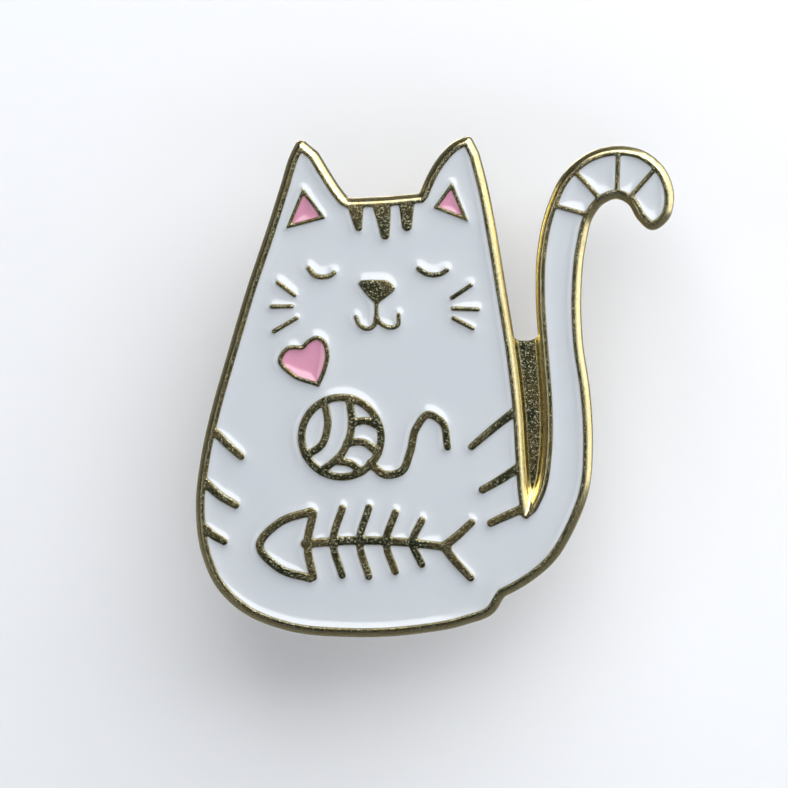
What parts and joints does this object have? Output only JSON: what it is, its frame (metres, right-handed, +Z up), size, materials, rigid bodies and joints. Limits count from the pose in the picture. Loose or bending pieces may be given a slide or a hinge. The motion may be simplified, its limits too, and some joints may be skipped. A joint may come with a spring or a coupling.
{
  "type": "enamel pin",
  "caption": "Flat sitting-cat lapel pin with raised metal lines, recessed white and pink enamel, and posts that carry sliding, squeezable butterfly clutches.",
  "frame": {"origin": "on the plate's flat back, midway between the posts' axes", "axes": "+Z up through the cat's head, -Y out of the enamelled face, +Y along the posts away from the plate, +X to the side of the tail"},
  "size_m": [0.0287, 0.0095, 0.0301],
  "materials": {
    "plate_gold": "gold-plated, finely grained",
    "enamel_white": "glossy soft enamel",
    "enamel_pink": "glossy soft enamel",
    "post_steel": "bright drawn wire",
    "clutch_disc": "bright stamped sheet",
    "clutch_case": "bright stamped sheet",
    "clutch_wing": "bright stamped sheet",
    "spring_steel": "bright wire"
  },
  "bodies": {
    "badge": {"badge_plate": "plate_gold", "enamel_body": "enamel_white", "enamel_tail_lower": "enamel_white", "enamel_tail_middle": "enamel_white", "enamel_tail_upper": "enamel_white", "enamel_tail_tip": "enamel_white", "enamel_ball_left": "enamel_white", "enamel_ball_middle": "enamel_white", "enamel_ball_top": "enamel_white", "enamel_ball_right": "enamel_white", "enamel_ball_low": "enamel_white", "enamel_ball_bottom": "enamel_white", "enamel_bone_head": "enamel_white", "enamel_ear_left": "enamel_pink", "enamel_ear_right": "enamel_pink", "enamel_heart": "enamel_pink", "post_upper": "post_steel", "post_lower": "post_steel"},
    "upper_clutch": {"upper_clutch_disc": "clutch_disc"},
    "upper_cap": {"upper_clutch_case": "clutch_case", "upper_clutch_spring": "spring_steel"},
    "upper_left_wing": {"upper_wing_left": "clutch_wing"},
    "upper_right_wing": {"upper_wing_right": "clutch_wing"},
    "lower_clutch": {"lower_clutch_disc": "clutch_disc"},
    "lower_cap": {"lower_clutch_case": "clutch_case", "lower_clutch_spring": "spring_steel"},
    "lower_left_wing": {"lower_wing_left": "clutch_wing"},
    "lower_right_wing": {"lower_wing_right": "clutch_wing"}
  },
  "joints": [
    {"name": "upper_clutch_slide", "type": "slide", "parent": "badge", "child": "upper_clutch", "axis": [0, 1, 0], "range_m": [0, 0.009]},
    {"name": "upper_clutch_spin", "type": "hinge", "parent": "upper_clutch", "child": "upper_cap", "pos_m": [0, 0.0013, 0.0058], "axis": [0, 1, 0], "continuous": true},
    {"name": "upper_squeeze_right", "type": "hinge", "parent": "upper_cap", "child": "upper_right_wing", "pos_m": [0.0021, 0.0032, 0.0058], "axis": [0, 0, 1], "range_deg": [0, 10], "stiffness_Nm_per_rad": 0.08},
    {"name": "upper_squeeze_left", "type": "hinge", "parent": "upper_cap", "child": "upper_left_wing", "pos_m": [-0.0021, 0.0032, 0.0058], "axis": [0, 0, -1], "range_deg": [0, 10], "stiffness_Nm_per_rad": 0.08},
    {"name": "lower_clutch_slide", "type": "slide", "parent": "badge", "child": "lower_clutch", "axis": [0, 1, 0], "range_m": [0, 0.009]},
    {"name": "lower_clutch_spin", "type": "hinge", "parent": "lower_clutch", "child": "lower_cap", "pos_m": [0, 0.0013, -0.0058], "axis": [0, 1, 0], "continuous": true},
    {"name": "lower_squeeze_right", "type": "hinge", "parent": "lower_cap", "child": "lower_right_wing", "pos_m": [0.0021, 0.0032, -0.0058], "axis": [0, 0, 1], "range_deg": [0, 10], "stiffness_Nm_per_rad": 0.08},
    {"name": "lower_squeeze_left", "type": "hinge", "parent": "lower_cap", "child": "lower_left_wing", "pos_m": [-0.0021, 0.0032, -0.0058], "axis": [0, 0, -1], "range_deg": [0, 10], "stiffness_Nm_per_rad": 0.08}
  ]
}
